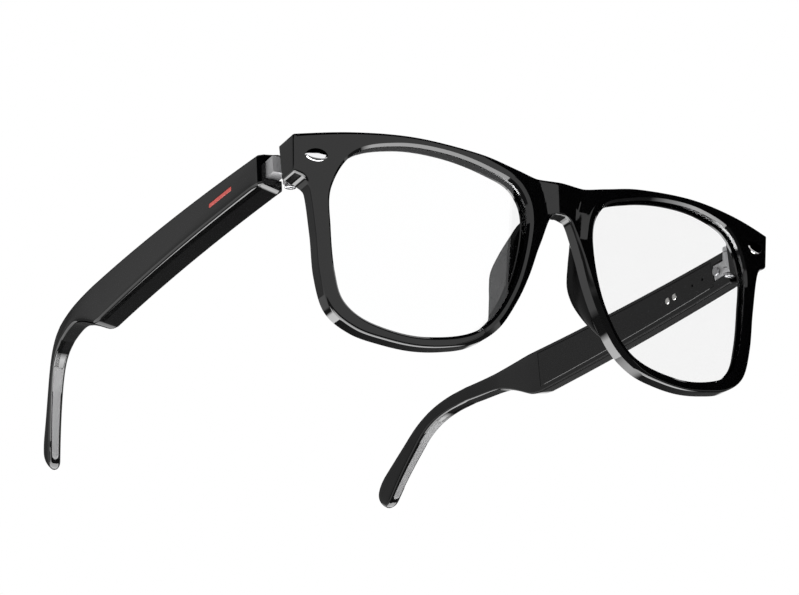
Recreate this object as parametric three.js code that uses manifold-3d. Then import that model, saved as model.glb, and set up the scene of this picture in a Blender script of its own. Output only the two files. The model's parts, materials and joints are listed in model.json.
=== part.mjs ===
// Smart glasses: a front with two lenses, and two folding temples that hold the electronics.
// Millimetres. Worked out as worn: +X is the wearer's left, +Y runs back to the ears, +Z is up.
// At the end the whole thing is pitched and lowered until its rims and ear tips rest on z = 0.
import * as THREE from 'three';
import { mergeVertices } from 'three/addons/utils/BufferGeometryUtils.js';
import Module from 'manifold-3d';

const wasm = await Module();
wasm.setup();

// Lenses and front
const lensWidth = 51.5;
const lensHeight = 44.5;
const lensThickness = 1.8;
const lensGap = 19.8;              // between the two lens openings, at their closest
const lensSetback = 0.9;           // from the front face to the lens
const grooveDepth = 0.9;
const frontTilt = THREE.MathUtils.degToRad(10.3);
const faceBow = 5.4;               // how far the face sweeps back 100 mm out, as a square
const faceWrap = 15.4;             // and as a fourth power, which wraps the ends
const rimDepth = 3.9;
const frontChamfer = 0.6;
const browRise = 2.1;              // of the brow above the lens opening
const browDrop = 0.6;              // from the lens top to the brow line at the corner
const bridgeDip = 1.7;             // from the lens top to the brow line at the bridge
const bridgeUnder = 9.8;           // from the lens top to the underside of the bridge
const rimTemple = 3.7;
const rimBottom = 2.6;
const rimNose = 2.9;
const rimBridge = 5.6;
const endReach = 9.6;              // from the lens opening to the outer end of the front
const endHeight = 8.6;
const endLength = 8.2;
const endBack = 10.2;              // how far back the end piece reaches
const endInset = 0.25;             // of the end piece's side and underside from the face's outline
const rivetLength = 5.2;
const rivetHeight = 3.1;
const rivetSink = 1.1;
const rivetInset = 5.6;
const rivetDrop = 4.7;             // below the top corner of the front
const padHeight = 23;
const padDepth = 9;
const padThickness = 3.6;
const padMiddle = [9.6, 7, -1.5];
const padSplay = 0.42;             // radians, as are the next two
const padFlare = -0.28;
const padLean = 0.12;

// Hinges
const hingeLean = THREE.MathUtils.degToRad(10);
const pivotInset = 4.8;            // inwards from the outer end of the front
const pivotBehind = 2.8;           // behind the end piece
const pivotDrop = 3.65;            // below the top corner of the front
const pinDiameter = 1.4;
const knuckleDiameter = 3.6;
const blockHeight = 4.1;
const blockLength = 8.6;
const blockWidth = 3.6;
const earThickness = 1.2;
const hingePlateDepth = 2.4;
const hingePlateWidth = 5.6;
const blockFront = 1.1;            // how far the block reaches in front of the pin
const neckInset = 0.6;             // of the block's neck, behind the front of its knuckle
const neckReach = 2.2;             // of the neck, outwards from the pin
const pinHeadOver = 1.3;           // how much wider a screw's head is than its shank
const pinHeadHeight = 0.7;
const pinSlotWidth = 0.4;
const pinSlotDepth = 0.3;
const springDiameter = 1.3;
const springLength = 2.6;
const springBack = 3.1;            // behind the pin
const mountScrewDiameter = 1.3;
const mountScrewBack = 7.2;        // behind the pin
const mountScrewBite = 0.8;        // into the temple, past the block
const mountHeadOver = 1.2;
const mountHeadHeight = 0.5;

// Temples
const templeStart = 16.1;          // where a temple's front end is
const templeLength = 90.4;         // of the thick part that holds the electronics
const neckLength = 36;             // from there to the ear bend
const templeStep = 2.6;            // how far a temple's outer face stands outside the front
const templeSplay = 0.059;
const templeBow = 5.1;
const curlBehind = 4;              // behind the thick part, where a temple starts to curl inwards
const curlPull = 0.125;            // how far it curls in 10 mm on
const curlPower = 2.3;
const templeWidth = 6;
const templeBottom = 14.1;
const frontHeight = 7.6;
const rearHeight = 11.5;
const bottomSlant = 1.4;           // how much lower the inner bottom edge is
const topSlant = 0.9;
const templeChamfer = 0.8;
const footTaper = 0.8;             // of the front end, on each side and in length
const neckWidth = 4.7;
const neckHeight = 4.8;
const neckDrop = 1.4;              // of the neck's middle, below the top of the thick part
const neckTopRise = 0.3;
const tipHeight = 4.6;
const tipWidth = 3.6;
const tipRounding = 0.55;          // the last section's height, as a share of the one it would have
const wall = 1.3;
const pocketWall = 1.7;            // outside the hinge block
const coverThickness = 1.2;
const coverLedge = 0.7;
const cavityStart = 23.4;

// What the temples hold
const boardLength = 32;
const boardHeight = 4.2;
const boardThickness = 0.8;
const boardRoom = 1;               // between the board and the battery
const batteryLength = 30;
const batteryHeight = 6;
const batteryThickness = 2.4;
const speakerLength = 14;
const speakerHeight = 6.4;
const speakerThickness = 2.6;
const micSize = 2.6;
const micThickness = 1;
const sensorLength = 24;
const sensorHeight = 4;
const sensorThickness = 0.3;
const sensorBehind = 2;            // the front end of the indicator bar
const barLength = 11;
const barHeight = 1.1;
const barStart = 28.2;
const barSink = 0.2;               // of its inner face, short of the wall's inner side
const contactDiameter = 1.9;
const contactSpacing = 3.2;
const contactMiddle = 41.3;
const contactProud = 0.05;
const pinholeDiameter = 0.8;
const pinholes = [26.8, 31.4];
const middleRise = 4.2;            // of the bar, the contacts and the pinholes, above the temple's bottom
const slotLength = 9;
const slotWidth = 1.6;
const meshDepth = 0.8;
const meshProud = 0.2;
const inlayDepth = 1;
const inlaySide = 0.7;             // of glossy edge beside the strip
const gap = 0.3;                   // left between any two pieces
const overlap = 0.2;               // that two solids share where they are joined into one

const lensCentre = lensGap / 2 + lensWidth / 2;
const halfWidth = lensGap / 2 + lensWidth + endReach;
const lensTop = lensHeight / 2;
const cornerTop = lensTop - browDrop;
const pivot = new THREE.Vector3(halfWidth - pivotInset, endBack + pivotBehind, cornerTop - pivotDrop);
const templeEnd = templeStart + templeLength;

const finishes = {
  gloss: { color: 0x0c0c0d, roughness: 0.12, metalness: 0 },
  glass: { color: 0xf2f4f5, roughness: 0.03, metalness: 0, transparent: true, opacity: 0.2 },
  chrome: { color: 0xd8d9db, roughness: 0.12, metalness: 1 },
  steel: { color: 0xb9bbbe, roughness: 0.25, metalness: 1 },
  gold: { color: 0xd8c48c, roughness: 0.2, metalness: 1 },
  red: { color: 0xd9605c, roughness: 0.35, metalness: 0 },
  rubber: { color: 0x8e8f91, roughness: 0.6, metalness: 0 },
  board: { color: 0x14532d, roughness: 0.5, metalness: 0 },
  foil: { color: 0xa9adb3, roughness: 0.35, metalness: 0.6 },
  film: { color: 0xb06a2c, roughness: 0.4, metalness: 0.1 },
  darkMetal: { color: 0x3a3b3e, roughness: 0.4, metalness: 0.8 },
};

// Solids, joined and cut

function toSolid(geometry) {
  const bare = geometry.clone();
  bare.deleteAttribute('normal');
  bare.deleteAttribute('uv');
  const merged = mergeVertices(bare, 1e-4);
  return new wasm.Manifold(new wasm.Mesh({
    numProp: 3,
    vertProperties: new Float32Array(merged.attributes.position.array),
    triVerts: new Uint32Array(merged.index.array),
  }));
}

function toGeometry(manifold) {
  const mesh = manifold.getMesh();
  const geometry = new THREE.BufferGeometry();
  geometry.setAttribute('position', new THREE.BufferAttribute(mesh.vertProperties, 3));
  geometry.setIndex(new THREE.BufferAttribute(mesh.triVerts, 1));
  return geometry;
}

function cut(base, ...tools) {
  return toGeometry(tools.reduce((left, tool) => left.subtract(toSolid(tool)), toSolid(base)));
}

function join(base, ...others) {
  return toGeometry(others.reduce((sum, other) => sum.add(toSolid(other)), toSolid(base)));
}

function move(geometry, change) {
  const place = geometry.attributes.position;
  const point = new THREE.Vector3();
  for (let i = 0; i < place.count; i += 1) {
    point.fromBufferAttribute(place, i);
    change(point);
    place.setXYZ(i, point.x, point.y, point.z);
  }
  return geometry;
}

function mirrored(geometry) {
  const flipped = geometry.index ? geometry.toNonIndexed() : geometry.clone();
  const place = flipped.attributes.position;
  const corners = [0, 1, 2].map(() => new THREE.Vector3());
  for (let i = 0; i < place.count; i += 3) {
    corners.forEach((corner, k) => corner.fromBufferAttribute(place, i + k));
    [0, 2, 1].forEach((from, k) => place.setXYZ(i + k, -corners[from].x, corners[from].y, corners[from].z));
  }
  return flipped;
}

// A box from its lowest to its highest corner
function block(low, high) {
  const size = high.map((value, i) => value - low[i]);
  const middle = high.map((value, i) => (value + low[i]) / 2);
  return new THREE.BoxGeometry(...size).translate(...middle);
}

// A rod whose axis runs across, along or up
function rod(diameter, length, axis, middle, sides = 20) {
  const shape = new THREE.CylinderGeometry(diameter / 2, diameter / 2, length, sides);
  if (axis === 'x') shape.rotateZ(Math.PI / 2);
  if (axis === 'z') shape.rotateX(Math.PI / 2);
  return shape.translate(...middle);
}

// Rings of points, each joined to the next, with a fan closing each end
function loft(rings) {
  const count = rings[0].length;
  const points = rings.flat();
  const faces = [];
  for (let r = 0; r < rings.length - 1; r += 1) {
    for (let i = 0; i < count; i += 1) {
      const a = r * count + i;
      const b = r * count + (i + 1) % count;
      faces.push(a, b, b + count, a, b + count, a + count);
    }
  }
  const last = (rings.length - 1) * count;
  for (let i = 1; i < count - 1; i += 1) {
    faces.push(0, i + 1, i);
    faces.push(last, last + i, last + i + 1);
  }
  const geometry = new THREE.BufferGeometry().setFromPoints(points);
  geometry.setIndex(faces);
  return geometry;
}

// The front

function faceY(x, z) {
  return faceBow * (x / 100) ** 2 + faceWrap * (x / 100) ** 4 - Math.tan(frontTilt) * z;
}

// A flat outline made into a slab that follows the curve of the face
function faceSlab(shape, front, back, chamfer = 0) {
  const slab = new THREE.ExtrudeGeometry(shape, {
    depth: back - front - 2 * chamfer,
    bevelEnabled: chamfer > 0,
    bevelThickness: chamfer,
    bevelSize: chamfer,
    bevelOffset: -chamfer,
    bevelSegments: 1,
  });
  slab.rotateX(Math.PI / 2).translate(0, back - chamfer, 0);
  return move(slab, (point) => { point.y += faceY(point.x, point.z); });
}

// The lens opening, as shares of half its width and half its height
const lensCurve = new THREE.SplineCurve([
  [0.99, 0.02], [1, 0.45], [0.8, 0.83], [0.38, 0.975], [-0.1, 0.985], [-0.55, 0.9], [-0.88, 0.75],
  [-1, 0.38], [-0.86, -0.31], [-0.52, -0.83], [0.05, -1], [0.55, -0.93], [0.83, -0.74], [0.935, -0.43],
  [0.99, 0.02],
].map(([across, up]) => new THREE.Vector2(across * lensWidth / 2, up * lensHeight / 2)));

const lensRing = lensCurve.getSpacedPoints(52).slice(0, -1);

function lensPoint(angle) {
  const wanted = THREE.MathUtils.degToRad(angle);
  const away = (point) => {
    const turn = point.angle() - wanted;
    return Math.abs(Math.atan2(Math.sin(turn), Math.cos(turn)));
  };
  return lensRing.reduce((best, point) => (away(point) < away(best) ? point : best));
}

function lensShape(grow) {
  return new THREE.Shape(lensRing.map((point) => {
    const out = point.clone().setLength(point.length() + grow);
    return new THREE.Vector2(lensCentre + out.x, out.y);
  }));
}

// The rim's width round the lens, from the temple side under the lens to the bridge
const rimWidths = [[0, rimTemple], [-40, rimTemple], [-70, rimBottom], [-110, rimBottom], [-165, rimNose],
  [-185, (rimNose + rimBridge) / 2], [-202, rimBridge]];

function rimPoint(angle) {
  const at = rimWidths.findIndex(([end]) => end <= angle);
  const [[fromAngle, from], [toAngle, to]] = at > 0 ? [rimWidths[at - 1], rimWidths[at]] : rimWidths;
  const width = from + (to - from) * (angle - fromAngle) / (toAngle - fromAngle);
  const out = lensPoint(angle);
  return out.clone().setLength(out.length() + width).add(new THREE.Vector2(lensCentre, 0));
}

function halfOutline() {
  const brow = new THREE.SplineCurve([
    [0, lensTop - bridgeDip], [7, lensTop - bridgeDip - 0.1], [14, lensTop - 0.6], [24, lensTop + 1.1],
    [lensCentre + 5, lensTop + browRise], [lensCentre + 20, lensTop + browRise * 0.6], [halfWidth, cornerTop],
  ].map(([x, z]) => new THREE.Vector2(x, z)));
  const cornerBottom = new THREE.Vector2(halfWidth - 0.5, cornerTop - endHeight);
  const under = new THREE.SplineCurve([
    cornerBottom,
    new THREE.Vector2(lensCentre + lensWidth / 2 + rimTemple + 1.9, cornerTop - endHeight - 2.6),
    ...[0, -20, -36, -50, -65, -82, -100, -118, -136, -155, -172, -187].map(rimPoint),
    new THREE.Vector2(2.8, lensTop - bridgeUnder - 1),
    new THREE.Vector2(0, lensTop - bridgeUnder),
  ]);
  return [...brow.getSpacedPoints(22), ...under.getSpacedPoints(56)];
}

function frontShape() {
  const left = halfOutline();
  const right = left.slice(1, -1).reverse().map((point) => new THREE.Vector2(-point.x, point.y));
  const shape = new THREE.Shape([...left, ...right].reverse());
  const opening = lensShape(0).getPoints();
  shape.holes.push(new THREE.Path(opening));
  shape.holes.push(new THREE.Path(opening.map((point) => new THREE.Vector2(-point.x, point.y))));
  return shape;
}

// The thick corner that the hinge sits behind
function endPiece() {
  const front = faceY(halfWidth, cornerTop) + rimDepth / 2;
  const low = [halfWidth - endLength, front, cornerTop - endHeight + endInset];
  return block(low, [halfWidth - endInset, endBack, cornerTop]);
}

function rivetSolid(grow, sink) {
  const oval = rod(1, sink, 'y', [0, sink / 2, 0], 24);
  oval.scale(rivetLength + 2 * grow, 1, rivetHeight + 2 * grow);
  const x = halfWidth - rivetInset;
  const z = cornerTop - rivetDrop;
  oval.rotateX(frontTilt);
  return oval.translate(x, faceY(x, z), z);
}

// Hinge pieces are made about the pin. Those on the pin lean with it, and those in the temple are upright
function atPivot(geometry) {
  return geometry.rotateX(hingeLean).translate(pivot.x, pivot.y, pivot.z);
}

function besidePivot(geometry) {
  return geometry.translate(pivot.x, pivot.y, pivot.z);
}

const plateBack = -knuckleDiameter / 2 - gap - overlap / 2;
const plateFront = plateBack - hingePlateDepth;
const earsTop = blockHeight / 2 + gap + earThickness;

function hingeRecess() {
  const side = hingePlateWidth / 2 + gap;
  return atPivot(block([-side, plateFront - gap, -earsTop - gap], [side, pivotBehind, earsTop + gap]));
}

function frontHinge() {
  const side = hingePlateWidth / 2;
  const plate = block([-side, plateFront, -earsTop], [side, plateBack, earsTop]);
  const ears = [-1, 1].flatMap((side) => {
    const middle = side * (blockHeight / 2 + gap + earThickness / 2);
    const low = [-knuckleDiameter / 2, plateBack - overlap, middle - earThickness / 2];
    return [block(low, [knuckleDiameter / 2, 0, middle + earThickness / 2]),
      rod(knuckleDiameter, earThickness, 'z', [0, 0, middle])];
  });
  const bore = rod(pinDiameter + 2 * gap, 4 * earsTop, 'z', [0, 0, 0]);
  return atPivot(cut(join(plate, ...ears), bore));
}

function pinScrew() {
  const headTop = -earsTop - gap;
  const headFace = headTop - pinHeadHeight;
  const shankLength = earsTop - headTop + overlap;
  const shank = rod(pinDiameter, shankLength, 'z', [0, 0, earsTop - shankLength / 2]);
  const head = rod(pinDiameter + pinHeadOver, pinHeadHeight, 'z', [0, 0, headTop - pinHeadHeight / 2]);
  const slot = block(
    [-pinDiameter - pinHeadOver, -pinSlotWidth / 2, headFace - 1],
    [pinDiameter + pinHeadOver, pinSlotWidth / 2, headFace + pinSlotDepth],
  );
  return atPivot(cut(join(shank, head), slot));
}

// The temples: everything is made against a flat outer face at x = 0, then bent to the temple's line

const curlStart = templeEnd + curlBehind;

function outerX(y) {
  const along = y - templeStart;
  const curl = curlPull * Math.max(0, (y - curlStart) / 10) ** curlPower;
  return halfWidth + templeStep + templeSplay * along - templeBow * (along / 100) ** 2 - curl;
}

function bend(geometry) {
  return move(geometry, (point) => { point.x += outerX(point.y); });
}

function templeTop(y) {
  return templeBottom + frontHeight + (rearHeight - frontHeight) * (y - templeStart) / templeLength;
}

// One cross-section: its foot at (y, z), turned by pitch, between low and high, with its corners cut off
function section({ y, z = 0, pitch = 0, low, high, width, slant = 0, crown = 0, corner = templeChamfer }) {
  const across = [
    [0, low + corner], [-corner, low - slant * corner / width], [corner - width, low - slant],
    [-width, low - slant + corner], [-width, high + crown - corner], [corner - width, high + crown],
    [-corner, high + crown * corner / width], [0, high - corner],
  ];
  return across.map(([x, up]) => new THREE.Vector3(x, y - up * Math.sin(pitch), z + up * Math.cos(pitch)));
}

// The line of the ear bend, as steps back and down from the end of the neck, with the pitch there
const neckEnd = templeEnd + neckLength;
const neckMiddle = templeBottom + rearHeight - neckDrop;
const earLine = [[0, 0, 0], [8, -0.7, -10], [15, -2.7, -24], [21, -6.5, -40], [26.5, -12.5, -49],
  [31.5, -18.9, -53], [35.5, -24.9, -56], [37, -27.2, -58]];

// How the thick part draws in to the neck: steps back from its end, rise of the bottom, width, edge slope
const neckStations = [[5, 0.9, 5.9, 0.9], [11, 3.6, 5.7, 0.7], [17, 6, 5.3, 0.4], [23, 7.2, 4.9, 0.2]];

function earSections() {
  return earLine.map(([back, up, pitch], i) => {
    const share = i / (earLine.length - 1);
    const rounding = share === 1 ? tipRounding : 1;
    const height = (neckHeight + (tipHeight - neckHeight) * share) * rounding;
    return {
      y: neckEnd + back,
      z: neckMiddle + up,
      pitch: THREE.MathUtils.degToRad(pitch),
      low: -height / 2,
      high: height / 2,
      width: neckWidth + (tipWidth - neckWidth) * share,
    };
  });
}

function templeBody() {
  const straight = [0, 0.25, 0.5, 0.75, 1].map((share) => {
    const y = templeStart + share * templeLength;
    const high = templeTop(y);
    return { y, low: templeBottom, high, width: templeWidth, slant: bottomSlant, crown: topSlant };
  });
  const foot = section({ ...straight[0], y: templeStart - footTaper, width: templeWidth - footTaper });
  const high = templeTop(templeEnd) + neckTopRise;
  const neck = neckStations.map(([back, rise, width, slope]) => (
    { y: templeEnd + back, low: templeBottom + rise, high, width, slant: slope, crown: slope }
  ));
  const stations = [...straight, ...neck, ...earSections()];
  return loft([foot.map((point) => point.setX(point.x - footTaper)), ...stations.map(section)]);
}

// A plate or a pocket in the thick part, whose top follows the temple's sloping top
function templeSlab(from, to, lowRise, topDrop, outer, inner) {
  const steps = Math.max(1, Math.round((to - from) / 20));
  const rings = [];
  for (let i = 0; i <= steps; i += 1) {
    const y = from + (to - from) * i / steps;
    const low = templeBottom + lowRise;
    const high = templeTop(y) - topDrop;
    rings.push([[outer, low], [inner, low], [inner, high], [outer, high]].map(
      ([x, z]) => new THREE.Vector3(x, y, z),
    ));
  }
  return loft(rings);
}

const coverStart = cavityStart - coverLedge;
const coverEnd = templeEnd - wall;
const cavityEnd = coverEnd - coverLedge;
const cavityOuter = -wall;
const coverInner = -templeWidth + coverThickness;
const boardOuter = coverInner + gap + boardThickness;
const middleHeight = templeBottom + middleRise;
const blockOuter = outerX(templeStart) - pocketWall - gap - pivot.x;
const speakerMiddle = cavityEnd - gap - speakerLength / 2;

// The steel block that joins a temple to its pin, and the pocket that it sits in
function templeHinge() {
  const half = blockHeight / 2;
  const knuckle = rod(knuckleDiameter, blockHeight, 'z', [0, 0, 0]);
  const neck = block([0, neckInset - knuckleDiameter / 2, -half], [neckReach, knuckleDiameter / 2, half]);
  const bore = rod(pinDiameter + 2 * gap, 2 * blockHeight, 'z', [0, 0, 0]);
  const body = block([blockOuter - blockWidth, -blockFront, -half], [blockOuter, blockLength, half]);
  const springSlot = block(
    [blockOuter - springDiameter - 2 * gap, springBack, -springDiameter / 2 - gap],
    [blockOuter + 1, springBack + springLength + 2 * gap, springDiameter / 2 + gap],
  );
  const holeMiddle = blockOuter - blockWidth / 2;
  const screwHole = rod(mountScrewDiameter + 2 * gap, 2 * blockWidth, 'x', [holeMiddle, mountScrewBack, 0]);
  const leaning = cut(join(knuckle, neck), bore);
  return join(atPivot(leaning), besidePivot(cut(body, springSlot, screwHole)));
}

function hingePocket() {
  const half = blockHeight / 2 + gap;
  const inner = blockOuter - blockWidth - templeWidth / 2;
  const room = block([inner, -blockFront, -half], [blockOuter + gap, blockLength + gap, half]);
  const screwRoom = 2 * (mountScrewBite + gap);
  const screwEnd = rod(mountScrewDiameter + 2 * gap, screwRoom, 'x', [blockOuter, mountScrewBack, 0]);
  return besidePivot(join(room, screwEnd));
}

function hingeSpring() {
  const x = blockOuter - gap - springDiameter / 2;
  return besidePivot(rod(springDiameter, springLength, 'y', [x, springBack + gap + springLength / 2, 0], 14));
}

function mountScrew() {
  const headFace = blockOuter - blockWidth - gap;
  const length = blockWidth + gap + mountScrewBite + overlap;
  const shankMiddle = headFace - overlap + length / 2;
  const shank = rod(mountScrewDiameter, length, 'x', [shankMiddle, mountScrewBack, 0], 14);
  const headMiddle = headFace - mountHeadHeight / 2;
  const head = rod(mountScrewDiameter + mountHeadOver, mountHeadHeight, 'x', [headMiddle, mountScrewBack, 0]);
  return besidePivot(join(shank, head));
}

// The strip let into the underside of the ear bend
function earStrip(grow) {
  const sections = earSections().slice(2, -1);
  const rings = sections.map(({ y, z, pitch, low, width }, i) => {
    const end = Number(i === sections.length - 1) - Number(i === 0);
    const under = low - (grow ? inlayDepth : 0);
    const top = low + inlayDepth + grow;
    const outer = grow - inlaySide;
    const inner = inlaySide - width - grow;
    const back = y + end * grow * Math.cos(pitch);
    const up = z + end * grow * Math.sin(pitch);
    return [[outer, under], [inner, under], [inner, top], [outer, top]].map(
      ([x, rise]) => new THREE.Vector3(x, back - rise * Math.sin(pitch), up + rise * Math.cos(pitch)),
    );
  });
  return loft(rings);
}

function barSolid(grow) {
  const inner = grow ? -2 * wall : barSink - wall;
  const low = [inner, barStart - grow, middleHeight - barHeight / 2 - grow];
  return block(low, [grow, barStart + barLength + grow, middleHeight + barHeight / 2 + grow]);
}

function speakerMesh(grow) {
  const x = -templeWidth / 2;
  const top = templeTop(speakerMiddle);
  const foot = grow ? top - 2 * wall : top + meshProud - meshDepth;
  const head = grow ? top + 2 * wall : top + meshProud;
  const low = [x - slotWidth / 2 - grow, speakerMiddle - slotLength / 2 - grow, foot];
  return block(low, [x + slotWidth / 2 + grow, speakerMiddle + slotLength / 2 + grow, head]);
}

const contactPlaces = [contactMiddle - contactSpacing / 2, contactMiddle + contactSpacing / 2];

function contact(y, grow) {
  const length = grow ? 2 * coverThickness : coverThickness + contactProud;
  const x = grow ? coverInner - coverThickness / 2 : coverInner - length / 2;
  return rod(contactDiameter + 2 * grow, length, 'x', [x, y, middleHeight]);
}

function housing() {
  const lip = wall - coverLedge;
  const cavity = templeSlab(cavityStart, cavityEnd, wall, wall, cavityOuter, coverInner - overlap);
  const outside = -2 * templeWidth;
  const seat = templeSlab(coverStart - gap, coverEnd + gap, lip - gap, lip - gap, coverInner + gap, outside);
  const rooms = [cavity, seat, barSolid(gap), speakerMesh(gap), earStrip(gap)].map(bend);
  return cut(bend(templeBody()), ...rooms, hingePocket());
}

function cover() {
  const lip = wall - coverLedge;
  const plate = templeSlab(coverStart, coverEnd, lip, lip, coverInner, -templeWidth);
  const holes = pinholes.map((y) => (
    rod(pinholeDiameter, 4 * coverThickness, 'x', [-templeWidth, y, middleHeight], 12)
  ));
  return cut(bend(plate), ...[...contactPlaces.map((y) => contact(y, gap)), ...holes].map(bend));
}

// A flat piece inside a temple, from y, centred on a height, between two depths
function inside(y, length, height, outer, thickness, middle = middleHeight) {
  return bend(block([outer - thickness, y, middle - height / 2], [outer, y + length, middle + height / 2]));
}

function onBoard(y, size, thickness) {
  return inside(y - size / 2, size, size, boardOuter + gap + thickness, thickness);
}

const boardStart = cavityStart + gap;
const batteryStart = boardStart + boardLength + boardRoom;
const speakerStart = speakerMiddle - speakerLength / 2;
const cavityFloor = templeBottom + wall + gap;

const front = cut(
  join(faceSlab(frontShape(), 0, rimDepth, frontChamfer), endPiece(), mirrored(endPiece())),
  ...[faceSlab(lensShape(grooveDepth), lensSetback - gap, lensSetback + lensThickness + gap),
    rivetSolid(gap, 2 * rivetSink).translate(0, -rivetSink + gap, 0), hingeRecess()].flatMap(
    (tool) => [tool, mirrored(tool)],
  ),
);

// A nose pad: a flat oval that stands back from the rim, cut off where the rim's back face is
function nosePad() {
  const pad = new THREE.SphereGeometry(1, 20, 14).scale(padThickness / 2, padDepth, padHeight / 2);
  pad.rotateZ(-padSplay).rotateY(padFlare).rotateX(padLean).translate(...padMiddle);
  const rimSide = new THREE.Shape([[-1, -1], [1, -1], [1, 1], [-1, 1]].map(
    ([across, up]) => new THREE.Vector2(across * lensGap, up * lensHeight),
  ));
  return cut(pad, faceSlab(rimSide, -lensHeight, rimDepth + gap));
}

const frontPieces = [
  ['lens', faceSlab(lensShape(grooveDepth - gap), lensSetback, lensSetback + lensThickness), finishes.glass],
  ['nose_pad', nosePad(), finishes.gloss],
  ['rivet', rivetSolid(0, rivetSink), finishes.chrome],
  ['front_hinge', frontHinge(), finishes.steel],
  ['hinge_pin', pinScrew(), finishes.steel],
];

const templePieces = [
  ['temple_housing', housing(), finishes.gloss],
  ['temple_cover', cover(), finishes.gloss],
  ['temple_hinge', templeHinge(), finishes.steel],
  ['hinge_spring', hingeSpring(), finishes.steel],
  ['hinge_screw', mountScrew(), finishes.steel],
  ['circuit_board', inside(boardStart, boardLength, boardHeight, boardOuter, boardThickness), finishes.board],
  ['microphone', onBoard(pinholes[0], micSize, micThickness), finishes.darkMetal],
  ['touch_sensor', inside(barStart + sensorBehind, sensorLength, sensorHeight, cavityOuter - gap,
    sensorThickness), finishes.film],
  ['indicator_bar', bend(barSolid(0)), finishes.red],
  ['charging_contact_front', bend(contact(contactPlaces[0], 0)), finishes.gold],
  ['charging_contact_rear', bend(contact(contactPlaces[1], 0)), finishes.gold],
  ['battery', inside(batteryStart, batteryLength, batteryHeight, cavityOuter - 2 * gap, batteryThickness,
    cavityFloor + batteryHeight / 2), finishes.foil],
  ['speaker', inside(speakerStart, speakerLength, speakerHeight, cavityOuter - gap, speakerThickness,
    cavityFloor + speakerHeight / 2), finishes.darkMetal],
  ['speaker_mesh', bend(speakerMesh(0)), finishes.darkMetal],
  ['ear_strip', bend(earStrip(0)), finishes.rubber],
];

function addMesh(group, name, geometry, finish) {
  const flat = geometry.index ? geometry.toNonIndexed() : geometry;
  flat.computeVertexNormals();
  const mesh = new THREE.Mesh(flat, new THREE.MeshStandardMaterial(finish));
  mesh.name = name;
  group.add(mesh);
}

const frontGroup = new THREE.Group();
const leftTemple = new THREE.Group();
const rightTemple = new THREE.Group();
addMesh(frontGroup, 'front_frame', front, finishes.gloss);
frontPieces.forEach(([name, geometry, finish]) => {
  addMesh(frontGroup, `left_${name}`, geometry, finish);
  addMesh(frontGroup, `right_${name}`, mirrored(geometry), finish);
});
templePieces.forEach(([name, geometry, finish]) => {
  addMesh(leftTemple, `left_${name}`, geometry, finish);
  addMesh(rightTemple, `right_${name}`, mirrored(geometry), finish);
});

const glasses = new THREE.Group();
glasses.add(frontGroup, leftTemple, rightTemple);

// Set down on its rims and ear tips: pitched until the lowest points fore and aft are level
function lowest(group, keep) {
  const found = new THREE.Vector3(0, 0, Infinity);
  const point = new THREE.Vector3();
  group.updateMatrixWorld(true);
  group.traverse((child) => {
    if (!child.isMesh) return;
    const place = child.geometry.attributes.position;
    for (let i = 0; i < place.count; i += 1) {
      point.fromBufferAttribute(place, i);
      if (keep(point.y)) {
        point.applyMatrix4(child.matrixWorld);
        if (point.z < found.z) found.copy(point);
      }
    }
  });
  return found;
}

const middleY = templeEnd / 2;
for (let pass = 0; pass < 4; pass += 1) {
  const fore = lowest(glasses, (y) => y < middleY);
  const aft = lowest(glasses, (y) => y > middleY);
  glasses.rotation.x -= Math.atan2(aft.z - fore.z, aft.y - fore.y);
}
glasses.updateMatrixWorld(true);
const box = new THREE.Box3().setFromObject(glasses, true);
glasses.position.set(0, -(box.min.y + box.max.y) / 2, -box.min.z);

export default glasses;
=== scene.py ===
import json
import math

import bmesh
import bpy
import numpy as np
from mathutils import Matrix, Vector


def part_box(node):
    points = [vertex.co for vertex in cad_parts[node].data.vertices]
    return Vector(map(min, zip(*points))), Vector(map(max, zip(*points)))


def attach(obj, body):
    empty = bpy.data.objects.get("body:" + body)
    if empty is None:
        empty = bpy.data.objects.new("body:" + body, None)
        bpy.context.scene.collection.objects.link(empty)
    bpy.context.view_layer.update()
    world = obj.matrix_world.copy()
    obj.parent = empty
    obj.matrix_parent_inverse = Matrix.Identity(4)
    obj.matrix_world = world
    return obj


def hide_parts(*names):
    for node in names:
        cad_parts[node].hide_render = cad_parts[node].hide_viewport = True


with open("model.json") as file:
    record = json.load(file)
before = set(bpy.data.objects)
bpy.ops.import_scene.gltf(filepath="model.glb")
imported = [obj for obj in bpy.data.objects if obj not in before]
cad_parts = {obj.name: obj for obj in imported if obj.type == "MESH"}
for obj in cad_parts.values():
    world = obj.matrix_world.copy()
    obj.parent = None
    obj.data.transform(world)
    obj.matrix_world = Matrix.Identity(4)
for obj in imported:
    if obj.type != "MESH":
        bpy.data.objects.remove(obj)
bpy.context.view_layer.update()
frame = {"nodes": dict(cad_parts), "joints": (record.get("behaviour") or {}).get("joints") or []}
print("frame loaded", len(frame["nodes"]), "nodes")

# Shapes are worked out in millimetres as the glasses are worn: x to the wearer's left, y back, z up.
# The fold pin is known in both frames, so it carries them over.
foldPin = {"out": 66.2, "back": 13.0, "up": 18.0, "lean": 10.0}
foldJoint = next(joint for joint in frame["joints"] if joint["name"] == "left_temple_fold")
pitch = math.radians(foldPin["lean"]) - math.atan2(-foldJoint["axis"][1], foldJoint["axis"][2])


def toFrame(points):
    # away from the pin, turned by the pitch about x, then set down at the pin's place in metres
    away = np.asarray(points, float) - (foldPin["out"], foldPin["back"], foldPin["up"])
    across, back, up = away[..., 0], away[..., 1], away[..., 2]
    turned = np.stack((across, back * math.cos(pitch) + up * math.sin(pitch),
                       up * math.cos(pitch) - back * math.sin(pitch)), -1)
    return turned / 1000 + np.array(foldJoint["pos_m"])


# Curves and grids

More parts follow.
